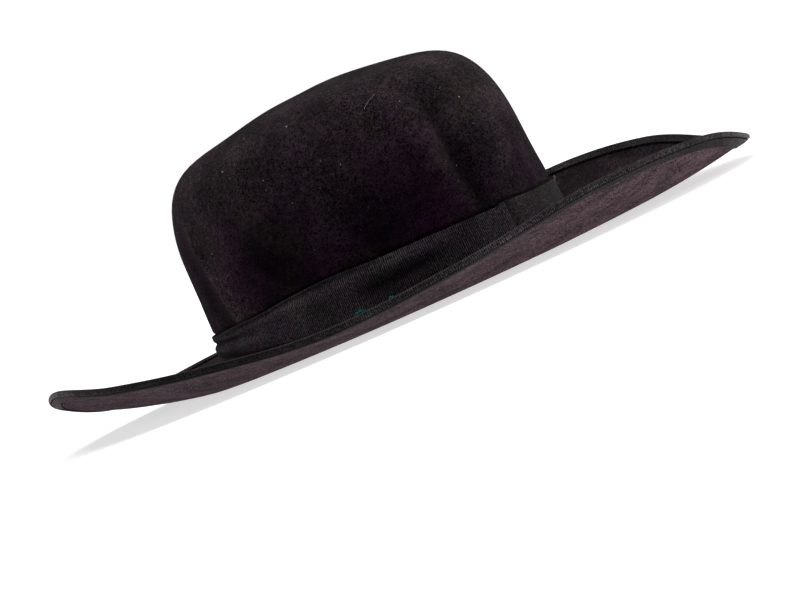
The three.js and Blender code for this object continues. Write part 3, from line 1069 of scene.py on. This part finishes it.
def ribbon_material(name, weave, lint, dark, light, pitch, wear, gloss=0.06, sheen=0.04):
    """Returns the material with its finished colour, so that a ribbon's own marks can be laid over it."""
    material, tree, shader = new_material(
        name, Roughness=0.75, Specular_IOR_Level=gloss, Sheen_Weight=sheen, Sheen_Roughness=0.4
    )
    place = add(tree, "ShaderNodeTexCoord").outputs["Object"]
    layout = add(tree, "ShaderNodeUVMap", uv_map="ribbon").outputs["UV"]
    threads = fill_group(tree, weave, {"Layout": layout, "Pitch": pitch, "Wear": wear})
    patches = remap(tree, noise(tree, place, 45, 3.0), 0.3, 0.7, 0.5, 1.3)
    # Painted shade in the ribbon's creases and painted light on its rolls
    patches = multiply(tree, patches, hollow_shade(tree, 0.65))
    crisp = calculate(tree, "POWER", threads["Tone"], 1.8)
    tone = multiply(tree, crisp, patches, clamp=True)
    faded = remap(tree, noise(tree, place, 60, 2.0), 0.38, 0.62)
    purplish = (light[0], 0.86 * light[1], 1.02 * light[2], 1)
    greyish = (0.94 * light[0], 1.02 * light[1], 0.98 * light[2], 1)
    colour = mix_colours(tree, tone, dark, mix_colours(tree, faded, purplish, greyish))
    flecks = fill_group(tree, lint, {"Vector": place, "Spacing": 0.007, "Size": 0.00027, "Share": 0.2})
    colour = mix_colours(tree, flecks["Mask"], colour, (0.13, 0.13, 0.12, 1))
    bump = add(tree, "ShaderNodeBump", {"Height": threads["Height"], "Strength": 0.8, "Distance": 0.00025})
    tree.links.new(colour, shader.inputs["Base Color"])
    tree.links.new(bump.outputs["Normal"], shader.inputs["Normal"])
    return material, colour


def mark_line(tree, layout, across, half_width):
    """A soft line along a ribbon at a distance across it, as a mask."""
    offset = calculate(tree, "ABSOLUTE", calculate(tree, "SUBTRACT", layout, across * MM))
    return remap(tree, offset, half_width * MM, half_width * MM * 0.4)


# The way from the hat's middle to the brim's front left, where the binding's tip gets painted light, as does
# the one opposite it.
CORNER_WAY = (0.574, -0.819, 0)


def binding_material(weave, lint):
    """Binding with a seam and selvedges, grey with painted light at the front and tips, dark with painted
    shade at the side.
    """
    dark, light = (0.0008, 0.0009, 0.0008, 1), (0.134, 0.117, 0.12, 1)
    material, colour = ribbon_material("binding_ribbon", weave, lint, dark, light, 0.00115, 0.52, 0.02, 0.01)
    tree, shader = material.node_tree, material.node_tree.nodes["Principled BSDF"]
    place = add(tree, "ShaderNodeTexCoord").outputs["Object"]
    axes = separate(tree, place)
    # Painted light towards the front, the back and the wearer's left, and painted shade at the side between
    # them
    painted_light_front = remap(tree, axes["Y"], -0.03, -0.14, 0.0, 0.81)
    painted_light_back = remap(tree, axes["Y"], 0.02, 0.15, 0.0, 0.7)
    painted_light_left = remap(tree, axes["X"], 0.05, 0.14, 0.0, 0.8)
    worn_and_painted_light = calculate(tree, "MAXIMUM", calculate(tree, "MAXIMUM", painted_light_front, painted_light_back), painted_light_left)
    # Painted light at the brim's two tips
    corners = add(tree, "ShaderNodeVectorMath", {0: place, 1: CORNER_WAY}, operation="DOT_PRODUCT")
    off_middle = calculate(tree, "ABSOLUTE", corners.outputs["Value"])
    tips = remap(tree, off_middle, 0.172, 0.192, 0.0, 2.6)
    colour = scale_colour(tree, colour, calculate(tree, "ADD", remap(tree, worn_and_painted_light, 0, 1, 0.26, 1.0), tips))
    flat = add(tree, "ShaderNodeUVMap", uv_map="ribbon").outputs["UV"]
    layout = separate(tree, flat)["Y"]
    # Painted shade along the stitches' groove
    seam = BINDING_ABOVE + QUARTER_ARC + STITCH_LINE
    colour = mix_colours(tree, mark_line(tree, layout, seam, 0.75), colour, (0.0015, 0.0012, 0.0014, 1))
    # Painted shade on the strip under the brim, below the seam, more towards the back
    lower_share = remap(tree, axes["Y"], -0.05, 0.1, 0.7, 0.4)
    painted_shade_under_seam = remap(tree, layout, (seam + 0.3) * MM, (seam + 1.2) * MM, 1, lower_share)
    colour = scale_colour(tree, colour, painted_shade_under_seam)
    # A paler line along the top of the edge's round
    top_edge = BINDING_ABOVE + 0.35 * QUARTER_ARC
    paler_top_line = multiply(tree, mark_line(tree, layout, top_edge, 0.7), 0.45)
    colour = mix_colours(tree, paler_top_line, colour, (0.07, 0.06, 0.062, 1))
    # A painted highlight along the selvedge under the brim
    selvedge = BINDING_ABOVE + 2 * QUARTER_ARC + BINDING_BELOW - 0.4
    pale = multiply(tree, mark_line(tree, layout, selvedge, 0.55), 0.4)
    colour = mix_colours(tree, pale, colour, (0.09, 0.076, 0.08, 1))
    tree.links.new(colour, shader.inputs["Base Color"])
    return material


def thread_material(name, colour):
    return new_material(name, Base_Color=(*colour, 1), Roughness=0.8, Specular_IOR_Level=0.1)[0]


# Floor, light and camera

FLOOR_SIZE = 14
CAMERA_AZIMUTH = -55
CAMERA_ELEVATION = 1
CAMERA_ROLL = 24
CAMERA_DISTANCE = 2200
CAMERA_LENS = 191.07
VIEW_TARGET = np.array([0, 0, 45])
VIEW_AIM = (1.87, -38)  # of the picture's middle, to the right and up from the target


def pale_floor():
    bpy.ops.object.select_all(action="DESELECT")
    bpy.ops.mesh.primitive_plane_add(size=FLOOR_SIZE)
    floor = bpy.context.object
    floor.name = "floor"
    material, _, _ = new_material(
        "pale_floor", Base_Color=(0.75, 0.75, 0.75, 1), Roughness=0.9, Specular_IOR_Level=0.1,
        Emission_Color=(1, 1, 1, 1), Emission_Strength=0.62,
    )
    floor.data.materials.append(material)


def soft_sun(name, strength, spread, way):
    """A wide sun shining from the given way: to the camera's right, upwards and away from the camera."""
    sun = bpy.data.lights.new(name, "SUN")
    sun.energy = strength
    sun.angle = math.radians(spread)
    lamp = bpy.data.objects.new(name, sun)
    bpy.context.scene.collection.objects.link(lamp)
    right, up, back = camera_axes()
    lamp.rotation_euler = (right * way[0] + up * way[1] - back * way[2]).to_track_quat("Z", "Y").to_euler()


def studio_light():
    scene = bpy.context.scene
    scene.view_settings.view_transform = "Standard"
    world = bpy.data.worlds.new("studio")
    scene.world = world
    world.use_nodes = True
    tree = world.node_tree
    tree.nodes.clear()
    seen = add(tree, "ShaderNodeLightPath").outputs["Is Camera Ray"]
    shown = add(tree, "ShaderNodeBackground", {"Color": (1, 1, 1, 1), "Strength": 1.05})
    lighting = add(tree, "ShaderNodeBackground", {"Color": (1, 1, 1, 1), "Strength": 0.09})
    mixed = add(tree, "ShaderNodeMixShader", {0: seen, 1: lighting.outputs[0], 2: shown.outputs[0]})
    output = add(tree, "ShaderNodeOutputWorld")
    tree.links.new(mixed.outputs[0], output.inputs["Surface"])
    soft_sun("overhead", 1.9, 60, (0.12, 0.95, 0.1))
    soft_sun("right_side", 2.0, 50, (0.92, 0.3, 0.16))
    soft_sun("left_side", 1.4, 70, (-0.9, 0.15, -0.1))


def camera_axes():
    """The picture's right and up before it is rolled, and the way back to the camera."""
    azimuth, elevation = math.radians(CAMERA_AZIMUTH), math.radians(CAMERA_ELEVATION)
    flat = Vector((math.sin(azimuth), -math.cos(azimuth), 0))
    back = flat * math.cos(elevation) + Vector((0, 0, math.sin(elevation)))
    right = Vector((math.cos(azimuth), math.sin(azimuth), 0))
    return right, back.cross(right), back


def photo_camera():
    right, up, back = camera_axes()
    target = Vector(VIEW_TARGET + HAT_PLACE)
    location = target + back * CAMERA_DISTANCE
    aim = target + right * VIEW_AIM[0] + up * VIEW_AIM[1]
    away = (location - aim).normalized()
    level = Vector((0, 0, 1)).cross(away).normalized()
    upright = away.cross(level)
    roll = math.radians(CAMERA_ROLL)
    across = level * math.cos(roll) - upright * math.sin(roll)
    upwards = level * math.sin(roll) + upright * math.cos(roll)
    turn = Matrix((across, upwards, away)).transposed().to_4x4()
    data = bpy.data.cameras.new("photo_camera")
    data.lens = CAMERA_LENS
    data.clip_end = 100
    camera = bpy.data.objects.new("photo_camera", data)
    bpy.context.scene.collection.objects.link(camera)
    camera.matrix_world = Matrix.Translation(location * MM) @ turn
    bpy.context.scene.camera = camera


photo_camera()
pale_floor()
studio_light()

nap, lint, weave = nap_group(), lint_group(), weave_group()
felt = felt_material(nap, lint)
band_ribbon, _ = ribbon_material(
    "band_ribbon", weave, lint, (0.0006, 0.0003, 0.0008, 1), (0.152, 0.126, 0.14, 1), 0.0011, 0.35
)
lap_ribbon, _ = ribbon_material(
    "lap_ribbon", weave, lint, (0.002, 0.0015, 0.0016, 1), (0.094, 0.079, 0.079, 1), 0.0011, 0.75
)
binding_ribbon = binding_material(weave, lint)
dark_thread = thread_material("dark_thread", (0.0015, 0.0012, 0.0014))
pale_thread = thread_material("pale_thread", (0.3, 0.27, 0.24))
loose_thread = thread_material("loose_thread", (0.12, 0.11, 0.11))
teal_thread = thread_material("teal_thread", (0.01, 0.26, 0.27))
felt_body(felt)
band_strip("band_ribbon", band_ribbon, BAND_STEPS)
band_strip("band_lapped_end", lap_ribbon, LAP_STEPS, LAP_START, LAP_END, lapped=True)
brim_binding(binding_ribbon)
binding_stitches(dark_thread)
loose_threads("frayed_threads", FRAYED_THREADS, THREAD_RADIUS, loose_thread)
loose_threads("teal_thread", TEAL_THREADS, 2 * THREAD_RADIUS, teal_thread)
stray_hair(pale_thread)
fluff_specks(pale_thread)
